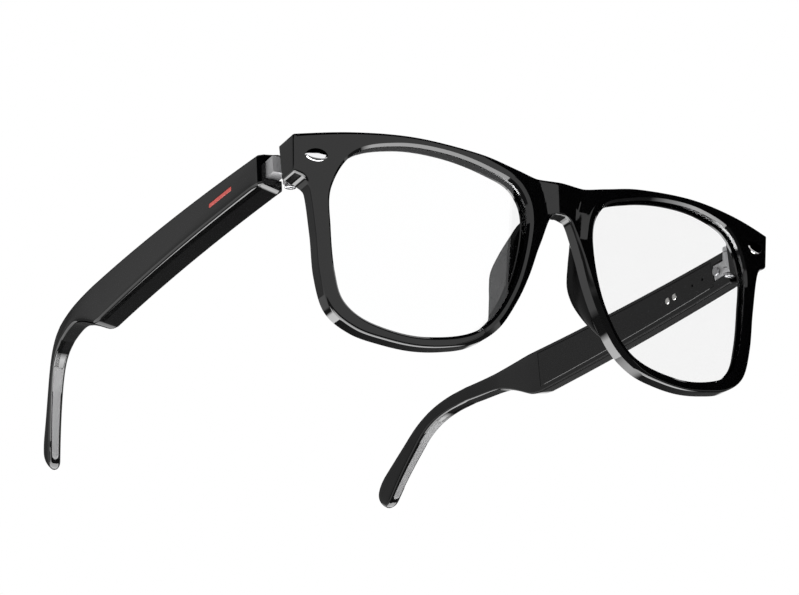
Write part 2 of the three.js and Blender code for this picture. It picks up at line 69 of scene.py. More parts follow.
def smoothCurve(keys, count, closed=False):
    # a cubic between each two keys, whose slope at a key is half the step between its neighbours
    keys = np.asarray(keys, float)
    if closed:
        padded = np.vstack((keys[-1:], keys, keys[:2]))
    else:
        padded = np.vstack((2 * keys[:1] - keys[1:2], keys, 2 * keys[-1:] - keys[-2:-1]))
    stretches = len(padded) - 3
    t = np.linspace(0, stretches, count, endpoint=not closed)
    at = np.minimum(t.astype(int), stretches - 1)
    f = (t - at)[:, None]
    a, b, c, d = (padded[at + k] for k in range(4))
    return b + 0.5 * f * (c - a + f * (2 * a - 5 * b + 4 * c - d + f * (3 * b - a - 3 * c + d)))


def evenly(curve, count):
    # the same curve at equal steps of its length
    length = np.concatenate(([0], np.cumsum(np.linalg.norm(np.diff(curve, axis=0), axis=1))))
    wanted = np.linspace(0, length[-1], count)
    return np.stack([np.interp(wanted, length, column) for column in curve.T], -1)


def smoothStep(value, low, high):
    # three times the square less twice the cube of the way from low to high
    t = np.clip((value - low) / (high - low), 0, 1)
    return t * t * (3 - 2 * t)


def gridFaces(rows, columns, closeRows=False, closeColumns=False):
    # one four-sided face for each cell, numbered row by row
    r = np.arange(rows if closeRows else rows - 1)[:, None]
    c = np.arange(columns if closeColumns else columns - 1)[None, :]
    nextR = (r + 1) % rows
    nextC = (c + 1) % columns
    corners = (r * columns + c, r * columns + nextC, nextR * columns + nextC, nextR * columns + c)
    return np.stack([corner.ravel() for corner in corners], -1)


def newMesh(name, shape, sharp):
    # a shape is its points, its four-sided faces and its end caps, all carried into the frame
    points, faces, caps = shape
    mesh = bpy.data.meshes.new(name)
    mesh.from_pydata(toFrame(points.reshape(-1, 3)).tolist(), [], faces.tolist() + caps)
    tidyMesh(mesh, sharp)
    return mesh


def tidyMesh(mesh, sharp, flatten=0):
    # doubles merged, faces turned outwards, and edges sharper than the given angle kept crisp
    work = bmesh.new()
    work.from_mesh(mesh)
    bmesh.ops.remove_doubles(work, verts=work.verts, dist=2e-6)
    bmesh.ops.dissolve_degenerate(work, edges=work.edges, dist=1e-6)
    if flatten:
        bmesh.ops.dissolve_limit(work, angle_limit=math.radians(flatten), verts=work.verts, edges=work.edges)
    bmesh.ops.recalc_face_normals(work, faces=work.faces)
    work.to_mesh(mesh)
    work.free()
    mesh.shade_smooth()
    mesh.set_sharp_from_angle(angle=math.radians(sharp))


def addPiece(name, mesh, body, finish, node):
    piece = bpy.data.objects.new(name, mesh)
    bpy.context.scene.collection.objects.link(piece)
    mesh.materials.clear()
    mesh.materials.append(finishes[finish])
    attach(piece, body)
    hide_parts(node)
    return piece


def sides(body):
    # each side, the body its pieces ride on, and which way its x runs
    for side, way in (("left", 1), ("right", -1)):
        yield side, "front" if body == "front" else "temple_" + side, way


def turnedTo(way, shape):
    points, faces, caps = shape
    return points * (way, 1, 1), faces, caps


def joined(shapes):
    # several closed shapes in one mesh
    points, faces, caps, count = [], [], [], 0
    for shapePoints, shapeFaces, shapeCaps in shapes:
        points.append(shapePoints)
        faces.append(shapeFaces + count)
        caps += [[corner + count for corner in cap] for cap in shapeCaps]
        count += len(shapePoints)
    return np.vstack(points), np.vstack(faces), caps


def makePair(name, shape, body, finish, node, sharp=34):
    # the left piece as worked out, and the right one as its mirror image
    for side, ridden, way in sides(body):
        mesh = newMesh(side + name, turnedTo(way, shape), sharp)
        addPiece(side + name, mesh, ridden, finish, side + "_" + node)


# Shader maths: a Wire is a socket that takes part in sums

def feed(socket, value):
    if isinstance(value, Wire):
        socket.id_data.links.new(value.socket, socket)
    else:
        socket.default_value = value


class Wire:
    def __init__(self, socket):
        self.socket = socket

    def calc(self, operation, first, second=0.0):
        node = self.socket.id_data.nodes.new("ShaderNodeMath")
        node.operation = operation
        feed(node.inputs[0], first)
        feed(node.inputs[1], second)
        return Wire(node.outputs[0])

    def __add__(self, other):
        return self.calc("ADD", self, other)

    def __sub__(self, other):
        return self.calc("SUBTRACT", self, other)

    def __rsub__(self, other):
        return self.calc("SUBTRACT", other, self)

    def __mul__(self, other):
        return self.calc("MULTIPLY", self, other)

    def __gt__(self, other):
        return self.calc("GREATER_THAN", self, other)

    def __lt__(self, other):
        return self.calc("LESS_THAN", self, other)

    def __neg__(self):
        return self.calc("MULTIPLY", self, -1.0)

    __radd__ = __add__
    __rmul__ = __mul__


class Nodes:
    def __init__(self, tree):
        self.tree = tree
        tree.nodes.clear()

    # a node of a type, with its settings and then its sockets by name or number
    def add(self, kind, settings=None, sockets=None, output=0):
        node = self.tree.nodes.new(kind)
        for name, value in (settings or {}).items():
            setattr(node, name, value)
        for name, value in (sockets or {}).items():
            feed(node.inputs[name], value)
        return Wire(node.outputs[output]) if node.outputs else None

    def place(self):
        return self.add("ShaderNodeTexCoord", output=3)

    def noise(self, scale, detail=2.0, vector=None):
        sockets = {"Scale": scale, "Detail": detail, "Vector": vector or self.place()}
        return self.add("ShaderNodeTexNoise", sockets=sockets)

    def stretched(self, scale):
        return self.add("ShaderNodeMapping", sockets={"Vector": self.place(), "Scale": scale})

    def mix(self, factor, first, second):
        return self.add("ShaderNodeMix", {"data_type": "RGBA"}, {0: factor, 6: (*first, 1), 7: (*second, 1)},
                        output=2)

    def bump(self, height, strength, distance):
        return self.add("ShaderNodeBump", sockets={"Height": height, "Strength": strength, "Distance": distance})


def finish(name, build):
    # build returns the Principled shader's sockets, and the kind of surface is all in them
    material = bpy.data.materials.new(name)
    material.use_nodes = True
    nodes = Nodes(material.node_tree)
    sockets = build(nodes)
    surface = nodes.add("ShaderNodeBsdfPrincipled", sockets=sockets)
    nodes.add("ShaderNodeOutputMaterial", sockets={"Surface": surface})
    return material


def glossBlack(nodes):
    cloud = nodes.noise(90.0, 3.0)
    fine = nodes.noise(2600.0, 2.0)
    return {"Base Color": nodes.mix(cloud, (0.0012, 0.0012, 0.0014), (0.0035, 0.0035, 0.0038)),
            "Roughness": 0.018 + 0.03 * fine, "IOR": 1.5,
            "Normal": nodes.bump(nodes.noise(420.0, 2.0), 0.03, 0.0001)}


def satinBlack(nodes):
    grain = nodes.noise(3200.0, 3.0)
    return {"Base Color": nodes.mix(grain, (0.004, 0.004, 0.0042), (0.010, 0.010, 0.0105)),
            "Roughness": 0.09 + 0.05 * nodes.noise(300.0), "IOR": 1.46, "Specular IOR Level": 0.44,
            "Normal": nodes.bump(grain, 0.12, 0.00005)}


def padBlack(nodes):
    cloud = nodes.noise(150.0, 3.0)
    return {"Base Color": nodes.mix(cloud, (0.0015, 0.0015, 0.0017), (0.004, 0.004, 0.0043)),
            "Roughness": 0.12 + 0.1 * cloud, "IOR": 1.45, "Specular IOR Level": 0.11,
            "Normal": nodes.bump(nodes.noise(420.0, 2.0), 0.04, 0.0001)}


def clearLens(nodes):
    smear = nodes.noise(60.0, 3.0, nodes.stretched((1.0, 1.0, 2.5)))
    return {"Base Color": nodes.mix(smear, (0.95, 0.96, 0.97), (0.98, 0.98, 0.99)), "Metallic": 1.0,
            "Roughness": 0.005 + 0.012 * smear, "Alpha": 0.046 + 0.008 * smear}


def polishedChrome(nodes):
    return {"Base Color": nodes.mix(nodes.noise(500.0), (0.88, 0.88, 0.89), (0.96, 0.96, 0.97)), "Metallic": 1.0,
            "Roughness": 0.04 + 0.05 * nodes.noise(1500.0), "Normal": nodes.bump(nodes.noise(700.0), 0.05, 0.0001)}


def brushedSteel(nodes):
    lines = nodes.noise(700.0, 3.0, nodes.stretched((6.0, 1.0, 0.25)))
    return {"Base Color": nodes.mix(lines, (0.62, 0.62, 0.63), (0.84, 0.84, 0.85)), "Metallic": 0.5,
            "Roughness": 0.4 + 0.16 * lines, "Normal": nodes.bump(lines, 0.15, 0.00005)}


def screwSteel(nodes):
    wear = nodes.noise(900.0, 2.0)
    return {"Base Color": nodes.mix(wear, (0.42, 0.42, 0.43), (0.62, 0.62, 0.63)), "Metallic": 1.0,
            "Roughness": 0.16 + 0.2 * wear, "Normal": nodes.bump(nodes.noise(2400.0), 0.12, 0.00005)}


def platedContact(nodes):
    ring = nodes.noise(1800.0, 1.0)
    return {"Base Color": nodes.mix(ring, (0.86, 0.85, 0.82), (0.97, 0.96, 0.94)), "Metallic": 1.0,
            "Roughness": 0.22 + 0.15 * ring}


def redLight(nodes):
    glow = nodes.noise(700.0, 2.0)
    tone = nodes.mix(glow, (0.55, 0.085, 0.075), (0.68, 0.13, 0.11))
    return {"Base Color": tone, "Roughness": 0.3 + 0.1 * glow, "Emission Color": tone, "Emission Strength": 0.35}


def greyStrip(nodes):
    grain = nodes.noise(2600.0, 3.0)
    return {"Base Color": nodes.mix(grain, (0.53, 0.53, 0.535), (0.61, 0.61, 0.615)),
            "Roughness": 0.42 + 0.1 * grain, "Normal": nodes.bump(grain, 0.06, 0.00005)}


def circuitGreen(nodes):
    cells = nodes.add("ShaderNodeTexVoronoi", {"distance": "CHEBYCHEV", "feature": "F2"},
                      {"Vector": nodes.place(), "Scale": 520.0, "Randomness": 0.7})
    tracks = cells > 0.62
    return {"Base Color": nodes.mix(tracks, (0.012, 0.09, 0.035), (0.05, 0.22, 0.09)),
            "Roughness": 0.28 + 0.2 * tracks, "Normal": nodes.bump(tracks, 0.3, 0.00005)}


def pouchFoil(nodes):
    crinkle = nodes.noise(420.0, 5.0)
    return {"Base Color": nodes.mix(crinkle, (0.50, 0.51, 0.53), (0.66, 0.67, 0.69)), "Metallic": 0.85,
            "Roughness": 0.28 + 0.2 * crinkle, "Normal": nodes.bump(crinkle, 0.35, 0.0002)}


def sensorFilm(nodes):
    lines = nodes.add("ShaderNodeTexWave", {"wave_type": "BANDS", "bands_direction": "Y"},
                      {"Vector": nodes.place(), "Scale": 180.0, "Distortion": 0.0})
    pads = lines > 0.75
    return {"Base Color": nodes.mix(pads, (0.42, 0.16, 0.035), (0.75, 0.42, 0.2)), "Metallic": 0.7 * pads,
            "Roughness": 0.34 + 0.1 * nodes.noise(800.0)}


def darkCan(nodes):
    brushed = nodes.noise(500.0, 3.0, nodes.stretched((1.0, 0.2, 1.0)))
    return {"Base Color": nodes.mix(brushed, (0.045, 0.045, 0.048), (0.09, 0.09, 0.095)), "Metallic": 0.9,
            "Roughness": 0.3 + 0.15 * brushed, "Normal": nodes.bump(brushed, 0.15, 0.00005)}


def fineMesh(nodes):
    cells = nodes.add("ShaderNodeTexVoronoi", {"feature": "F1"},
                      {"Vector": nodes.place(), "Scale": 2600.0, "Randomness": 0.0})
    hole = cells < 0.3
    # the holes are painted near black: painted shade standing for the dark seen through the openings
    return {"Base Color": nodes.mix(hole, (0.12, 0.12, 0.125), (0.004, 0.004, 0.004)), "Metallic": 0.9,
            "Roughness": 0.35 + 0.2 * hole, "Normal": nodes.bump(1.0 - hole, 0.6, 0.0002)}


finishes = {build.__name__: finish(build.__name__, build) for build in (
    glossBlack, padBlack, satinBlack, clearLens, polishedChrome, brushedSteel, screwSteel, platedContact,
    redLight, greyStrip, circuitGreen, pouchFoil, sensorFilm, darkCan, fineMesh)}
print("finishes", len(finishes))

# The front

front = {
    "lensWidth": 51.5, "lensHeight": 44.5, "lensGap": 19.8, "tilt": 10.3, "bow": 5.4, "wrap": 15.4,
    "depth": 3.9, "browRise": 2.1, "browDrop": 0.6, "bridgeDip": 1.7, "bridgeUnder": 9.8,
    "rimTemple": 3.7, "rimBottom": 2.6, "rimNose": 2.9, "rimBridge": 5.6,
    "endReach": 9.6, "endHeight": 8.6, "endBack": 10.2, "endInner": 62.4, "endSlope": 0.8,
    "endFrom": 8.6, "endFull": 13.4, "edge": 0.6, "noseBevel": 1.3, "noseBevelDeep": 0.75,
    "lensBevel": 0.6, "strip": 0.8, "stripDeep": 0.08, "grooveDeep": 0.9, "grooveSpare": 0.3,
    "lensSetback": 0.9, "lensThick": 1.8, "lensFree": 0.12, "backEdge": 0.3,
    "bridgeBulge": 0.55, "creaseTop": 7.3, "creaseBottom": 4.4, "shoulder": 0.16, "shoulderStart": 2.2,
    "browSteps": 110, "endSteps": 9, "underSteps": 240, "seamSteps": 12, "faceCrease": 0.72,
}
bridgeTop = front["lensHeight"] / 2 - front["bridgeDip"]
bridgeBottom = front["lensHeight"] / 2 - front["bridgeUnder"]
lensMiddle = front["lensGap"] / 2 + front["lensWidth"] / 2
lensTop = front["lensHeight"] / 2
halfWidth = front["lensGap"] / 2 + front["lensWidth"] + front["endReach"]
cornerTop = lensTop - front["browDrop"]

# the lens opening as shares of half its width and height, from the temple side over the top
lensKeys = np.array([
    (0.99, 0.02), (1, 0.45), (0.8, 0.83), (0.38, 0.975), (-0.1, 0.985), (-0.55, 0.9), (-0.88, 0.75),
    (-1, 0.38), (-0.86, -0.31), (-0.52, -0.83), (0.05, -1), (0.55, -0.93), (0.83, -0.74), (0.935, -0.43),
])
lensCurve = smoothCurve(lensKeys * (front["lensWidth"] / 2, front["lensHeight"] / 2), 1400, closed=True)
lensAngles = np.arctan2(lensCurve[:, 1], lensCurve[:, 0])
lensRadii = np.linalg.norm(lensCurve, axis=1)
lensOrder = np.argsort(lensAngles)


def lensRadius(angle):
    # the opening's reach from its middle at an angle, read off the lens curve
    wrapped = (np.asarray(angle) + math.pi) % (2 * math.pi) - math.pi
    return np.interp(wrapped, lensAngles[lensOrder], lensRadii[lensOrder], period=2 * math.pi)


def faceY(x, z):
    # the face sweeps back as the square and the fourth power of the way out, and leans with the tilt
    return (front["bow"] * (x / 100) ** 2 + front["wrap"] * (x / 100) ** 4
            - math.tan(math.radians(front["tilt"])) * z)


def ringPoint(angle, grow):
    # points round the opening, grown outwards from its edge
    radius = lensRadius(angle) + grow
    return np.stack((lensMiddle + radius * np.cos(angle), radius * np.sin(angle)), -1)


def roundCorner(before, corner, after, cut, count=6):
    # a quadratic arc that leaves one side and joins the next at the same distance from the corner
    toBefore = (before - corner) / np.linalg.norm(before - corner)
    toAfter = (after - corner) / np.linalg.norm(after - corner)
    t = np.linspace(0, 1, count)[:, None]
    return (1 - t) ** 2 * (corner + cut * toBefore) + 2 * t * (1 - t) * corner + t ** 2 * (corner + cut * toAfter)


def rimWidth(degrees):
    # straight runs between the widths at the bridge, nose, bottom and temple side
    keys = [(-202, front["rimBridge"]), (-185, (front["rimNose"] + front["rimBridge"]) / 2),
            (-165, front["rimNose"]), (-110, front["rimBottom"]), (-70, front["rimBottom"]),
            (-40, front["rimTemple"]), (0, front["rimTemple"])]
    at, width = zip(*keys)
    return np.interp(degrees, at, width)


def frontOutline():
    # from the top of the bridge along the brow, down the end, and round under the lens back to the bridge
    brow = smoothCurve([
        (0, bridgeTop), (7, bridgeTop - 0.1), (14, lensTop - 0.6),
        (24, lensTop + 1.1), (lensMiddle + 5, lensTop + front["browRise"]),
        (lensMiddle + 20, lensTop + 0.6 * front["browRise"]), (halfWidth, cornerTop)], 400)
    low = np.array((halfWidth - 0.5, cornerTop - front["endHeight"]))
    degrees = np.array([0, -20, -36, -50, -65, -82, -100, -118, -136, -155, -172, -187])
    rim = ringPoint(np.radians(degrees), rimWidth(degrees))
    under = smoothCurve(np.vstack((
        low, (low[0] - 3.5, low[1] - 2.6), rim,
        (2.8, bridgeBottom - 1), (0, bridgeBottom))), 700)
    top = roundCorner(brow[-2], brow[-1], low, 0.45)
    bottom = roundCorner(brow[-1], low, under[12], 0.5)
    browKept = brow[np.linalg.norm(brow - brow[-1], axis=1) > 0.5]
    underKept = under[np.linalg.norm(under - low, axis=1) > 0.6]
    seam = np.linspace(brow[0] - (0, 1.2), under[-1] + (0, 1.6), front["seamSteps"])
    end = evenly(np.stack((top[-1], bottom[0])), front["endSteps"])[1:-1]
    return [evenly(browKept, front["browSteps"]), top, end, bottom, evenly(underKept, front["underSteps"]), seam]


def outwards(outline):
    # the outline's normal, square to the step between a point's neighbours
    step = np.roll(outline, -1, 0) - np.roll(outline, 1, 0)
    normal = np.stack((-step[:, 1], step[:, 0]), -1)
    return normal / np.linalg.norm(normal, axis=1, keepdims=True)


def creaseX(z):
    return np.interp(z, (bridgeBottom, bridgeTop), (front["creaseBottom"], front["creaseTop"]))


def bridgeRelief(x, z):
    # the middle of the bridge bulges as a parabola between two creases, beside which the face falls back
    crease = creaseX(z)
    inside = np.clip(np.abs(x) / crease, 0, 1)
    away = np.hypot(x - lensMiddle, z) - lensRadius(np.arctan2(z, x - lensMiddle))
    high = smoothStep(z, 4, 14) * smoothStep(-x, -26, -13)
    fall = front["shoulder"] * np.clip(away - front["shoulderStart"], 0, 5) * high
    return fall - front["bridgeBulge"] * (1 - inside ** 2) * high


def frontHalf():
    # rings round the opening with a column for each point of the outline: the strip beside the lens, the face, the
    # rounded outer edge, the side, the back and the groove, each as deep as the face's sweep and its own set-back
    parts = frontOutline()
    outline = np.vstack(parts)
    seamStart = len(outline) - len(parts[-1])
    brows = len(parts[0])
    normal = outwards(outline)
    normal[0] = (0, 1)
    normal[seamStart - 1] = (0, -1)
    seam = np.zeros(len(outline), bool)
    seam[seamStart:] = True
    angle = np.unwrap(np.arctan2(outline[:, 1], outline[:, 0] - lensMiddle))
    smooth = np.convolve(np.concatenate((angle[-15:] + 2 * math.pi, angle, angle[:15] - 2 * math.pi)),
                         np.ones(31) / 31, "valid")
    inner = ringPoint(smooth, 0)
    radial = np.stack((np.cos(smooth), np.sin(smooth)), -1)
    degrees = np.degrees(smooth) % 360
    nose = smoothStep(degrees, 165, 190) * (1 - smoothStep(degrees, 225, 262))
    nose[:brows] = 0
    bevel = np.where(seam, 0, front["edge"] + (front["noseBevel"] - front["edge"]) * nose)[:, None]
    bevelDeep = front["edge"] + (front["noseBevelDeep"] - front["edge"]) * nose
    outerFront = outline - normal * bevel
    innerFront = inner + radial * front["lensBevel"]
    stripFront = innerFront + radial * front["strip"]

    def backDepth(x, z):
        # the rim's depth, with the end rising behind it to the back of the corner
        rim = faceY(x, z) + front["depth"]
        out = smoothStep(x, front["endInner"], front["endInner"] + front["endSlope"])
        return rim + (front["endBack"] - rim) * out * smoothStep(z, front["endFrom"], front["endFull"])

    def across(start, end, shares):
        return start[None] + (end - start)[None] * np.asarray(shares)[..., None]

    # one ring of the face lies on the bridge's crease, where a line across the rim meets it
    along = across(stripFront, outerFront, np.linspace(0, 1, 200)[:, None])
    beyond = along[..., 0] < creaseX(along[..., 1])
    crossed = np.where(beyond.any(0), beyond.argmax(0) / 199, 1)
    blend = smoothStep(outline[:, 0], front["creaseTop"] + 7, front["creaseTop"] + 0.2)
    underBlend = smoothStep(outline[:, 0], front["creaseBottom"] + 5, front["creaseBottom"] + 0.2)
    blend = np.where(np.arange(len(outline)) < brows, blend, underBlend)
    plain = front["faceCrease"] + (0.97 - front["faceCrease"]) * blend
    crease = np.where(crossed < 0.985, np.minimum(crossed, 0.97), plain)
    shares = np.concatenate((np.linspace(0, 1, 12)[:, None] * crease,
                             crease + np.linspace(0, 1, 7)[1:, None] * (1 - crease)))
    face = across(stripFront, outerFront, shares)
    faceDepth = faceY(face[..., 0], face[..., 1]) + bridgeRelief(face[..., 0], face[..., 1])

    def ring(flat, depth):
        return np.stack((flat[:, 0], depth, flat[:, 1]), -1)[None]

    rings = [ring(innerFront, faceY(*innerFront.T) + bridgeRelief(*innerFront.T) + front["stripDeep"]),
             np.dstack((face[..., :1], faceDepth[..., None], face[..., 1:]))]
    corner = np.where(seam, faceDepth[-1], faceY(*outline.T) + bridgeRelief(*outline.T))
    sideFront = np.where(seam, faceDepth[-1], corner + bevelDeep)
    sideBack = backDepth(*outline.T) - front["backEdge"]
    # the outer edge is a quadratic arc round the corner, and flat along the nose
    lip, side = ring(outerFront, faceDepth[-1]), ring(outline, sideFront)
    flatness = nose[None, :, None]
    corner = ring(outline, corner) * (1 - flatness) + (lip + side) / 2 * flatness
    rings += [(1 - t) ** 2 * lip + 2 * t * (1 - t) * corner + t ** 2 * side for t in (0.25, 0.5, 0.75)]
    for share in (0, 0.06, 0.3, 0.6, 0.85, 0.97):
        rings.append(ring(outline, sideFront + (sideBack - sideFront) * share))
    # behind, four rings lie on the slope up to the end's block where they cross it
    backOuter = outline - normal * np.where(seam, 0, front["backEdge"])[:, None]
    backInner = inner + radial * front["backEdge"]
    endShare = np.tile((0.3, 0.34, 0.38, 0.42), (len(outline), 1))
    reachX = backOuter[:, 0] - backInner[:, 0]
    marks = front["endInner"] + front["endSlope"] * np.array((1, 0.6625, 0.3375, 0))
    crossing = (backOuter[:, 0] > front["endInner"] + 1.6) & (reachX > 1.5)
    found = (backOuter[:, :1] - marks) / np.where(crossing, reachX, 1)[:, None]
    endShare = np.where(crossing[:, None], np.clip(found, 0.02, 0.98), endShare)
    fixed = np.concatenate((np.zeros((len(outline), 1)), endShare[:, :1] * 0.33, endShare[:, :1] * 0.66, endShare,
                            endShare[:, 3:] + (1 - endShare[:, 3:]) * np.array((0.3, 0.6, 1.0))), 1)
    behind = across(backOuter, backInner, fixed.T)
    rings.append(np.dstack((behind[..., :1], backDepth(behind[..., 0], behind[..., 1])[..., None],
                            behind[..., 1:])))
    grooveBack = front["lensSetback"] + front["lensThick"] + front["grooveSpare"]
    grooveFront = front["lensSetback"] - front["grooveSpare"]
    grooved = inner + radial * front["grooveDeep"]
    rings += [ring(inner, backDepth(*inner.T) - front["backEdge"]), ring(inner, faceY(*inner.T) + grooveBack),
              ring(grooved, faceY(*grooved.T) + grooveBack), ring(grooved, faceY(*grooved.T) + grooveFront),
              ring(inner, faceY(*inner.T) + grooveFront + 0.1)]
    points = np.concatenate(rings)
    faces = gridFaces(len(points), len(outline), closeRows=True, closeColumns=True)
    flat = points.reshape(-1, 3)
    onSeam = np.abs(flat[:, 0]) < 1e-6
    flat[onSeam, 0] = 0
    return flat, faces[~onSeam[faces].all(1)]


leftHalf = (*frontHalf(), [])
frontMesh = newMesh("frontFrame", joined([leftHalf, turnedTo(-1, leftHalf)]), 24)
addPiece("frontFrame", frontMesh, "front", "glossBlack", "front_frame")
print("front", len(frontMesh.polygons))


def bladeFaces(rings, sides):
    # rows of closed rings, with the first and the last ring filled in
    caps = [list(range(sides))[::-1], list(range((rings - 1) * sides, rings * sides))]
    return gridFaces(rings, sides, closeColumns=True), caps


def softBlock(low, high, radius, steps=4):
    # a box whose edges are quarter rounds: each ring is a rounded rectangle, grown and lowered along a quarter circle
    low, high = np.array(low, float), np.array(high, float)
    middle, reach = (low + high) / 2, (high - low) / 2 - radius
    rise = np.concatenate((np.linspace(90, 0, steps), np.linspace(0, -90, steps)))
    turn = np.concatenate([np.linspace(90 * k, 90 * k + 90, steps) for k in range(4)])
    rise, turn = np.radians(rise)[:, None], np.radians(turn)[None, :]
    quarter = np.arange(4 * steps)[None, :] // steps
    signX = np.where((quarter == 0) | (quarter == 3), 1, -1)
    signY = np.where(quarter < 2, 1, -1)
    side = np.where(np.arange(2 * steps) < steps, 1, -1)[:, None]
    x = middle[0] + signX * reach[0] + radius * np.cos(rise) * np.cos(turn)
    y = middle[1] + signY * reach[1] + radius * np.cos(rise) * np.sin(turn)
    z = middle[2] + side * reach[2] + radius * np.sin(rise) + 0 * turn
    faces, caps = bladeFaces(2 * steps, 4 * steps)
    return np.stack((x, y, z), -1).reshape(-1, 3), faces, caps


def turned(profile, sides=40):
    # a profile of (radius, height) carried round the upright axis
    turn = np.linspace(0, 2 * math.pi, sides, endpoint=False)
    radius, height = np.array(profile, float).T
    points = np.stack((radius[:, None] * np.cos(turn), radius[:, None] * np.sin(turn),
                       height[:, None] + 0 * turn), -1)
    faces, caps = bladeFaces(len(profile), sides)
    return points.reshape(-1, 3), faces, caps


def refinePair(node, name, body, finish, edge):
    # a merged copy of the node, its flat faces whole again, with a small round on every sharp edge
    for side, ridden, _ in sides(body):
        mesh = frame["nodes"][side + "_" + node].data.copy()
        tidyMesh(mesh, 34, flatten=1)
        piece = addPiece(side + name, mesh, ridden, finish, side + "_" + node)
        bevel = piece.modifiers.new("edge", "BEVEL")
        bevel.width = edge / 1000
        bevel.segments = 2
        bevel.limit_method = "ANGLE"
        bevel.angle_limit = math.radians(40)


# Lenses, pads and rivets

def lensDisc():
    # rings from the middle of the front out to the edge, and in again behind, each following the face's sweep
    rings, columns = 14, 180
    angle = np.linspace(0, 2 * math.pi, columns, endpoint=False)
    out = np.linspace(0, 1, rings) ** 0.8
    share = np.concatenate((out, out[::-1]))[:, None]
    depth = front["lensSetback"] + np.repeat((0, front["lensThick"]), rings)[:, None]
    radius = share * (lensRadius(angle)[None] + front["grooveDeep"] - front["lensFree"])
    x, z = lensMiddle + radius * np.cos(angle), radius * np.sin(angle)
    points = np.stack((x, faceY(x, z) + depth, z), -1)
    return points.reshape(-1, 3), gridFaces(2 * rings, columns, closeColumns=True), []


makePair("Lens", lensDisc(), "front", "clearLens", "lens")

pad = {
    # height, foot across and back, crest across and back, half thickness
    "stations": [(12.0, 7.4, 2.6, 7.2, 3.4, 0.4), (10.4, 7.6, 1.6, 8.2, 5.4, 1.1), (8, 8.2, 1.9, 9.2, 7.3, 1.45),
                 (5, 8.8, 2.3, 10.4, 10.1, 1.6), (1, 9.7, 3.0, 11.6, 12.9, 1.65), (-3, 10.9, 3.8, 12.4, 12.9, 1.65),
                 (-6.5, 12.2, 4.4, 13.4, 11.8, 1.6), (-10, 13.6, 5.1, 14.9, 10.2, 1.5), (-13, 15.4, 5.8, 16.6,
                                                                                         8.4, 1.2),
                 (-15.2, 17.4, 6.4, 18.0, 7.2, 0.4)],
}


def nosePad():
    # each section is an oval from its foot in the rim to its crest, fuller towards the crest
    keys = smoothCurve(pad["stations"], 48)
    turn = np.linspace(0, 2 * math.pi, 36, endpoint=False)
    foot, crest = keys[:, None, 1:3], keys[:, None, 3:5]
    along = 0.5 - 0.5 * np.cos(turn)[None, :, None]
    line = crest - foot
    square = np.stack((line[..., 1], -line[..., 0]), -1) / np.linalg.norm(line, axis=-1, keepdims=True)
    full = np.sign(np.sin(turn)) * np.abs(np.sin(turn)) ** 0.8 * (0.92 + 0.08 * (1 - np.cos(turn)))
    flat = foot + line * along + square * (keys[:, 5, None] * full[None])[..., None]
    points = np.dstack((flat, np.broadcast_to(keys[:, :1], flat.shape[:2])[..., None]))
    faces, caps = bladeFaces(len(keys), len(turn))
    return points.reshape(-1, 3), faces, caps


makePair("NosePad", nosePad(), "front", "padBlack", "nose_pad")

rivet = {"inset": 5.6, "drop": 4.7, "long": 2.75, "high": 1.5, "proud": 0.4, "lean": 0.08, "sink": 1.0}


def rivetDome():
    # an almond outline, shallow at the rim and domed towards the middle, on the sloping face
    turn = np.linspace(0, 2 * math.pi, 56, endpoint=False)
    share = np.array([0, 0.12, 0.25, 0.4, 0.55, 0.7, 0.82, 0.91, 0.97, 1.0, 1.0])[:, None]
    outX = rivet["long"] * np.cos(turn)
    outZ = rivet["high"] * np.sin(turn) * np.abs(np.sin(turn)) ** 0.3
    x = halfWidth - rivet["inset"] + share * outX
    z = cornerTop - rivet["drop"] + share * outZ
    rise = rivet["proud"] * (1 - share ** 2) ** 0.6 + 0.08
    rise = rise + rivet["lean"] * share * outX
    rise[-1] = -rivet["sink"]
    points = np.stack((x, faceY(x, z) - rise, z), -1)
    faces = gridFaces(len(share), 56, closeColumns=True)
    return points.reshape(-1, 3), faces, [list(range(56 * (len(share) - 1), 56 * len(share)))]


makePair("Rivet", rivetDome(), "front", "polishedChrome", "rivet", sharp=50)
print("lenses, pads and rivets")

# Hinges

refinePair("front_hinge", "FrontHinge", "front", "brushedSteel", 0.14)
refinePair("hinge_pin", "HingePin", "front", "screwSteel", 0.08)
refinePair("temple_hinge", "TempleHinge", "temple", "brushedSteel", 0.14)
refinePair("hinge_screw", "HingeScrew", "temple", "screwSteel", 0.08)
print("hinges")

# Temples

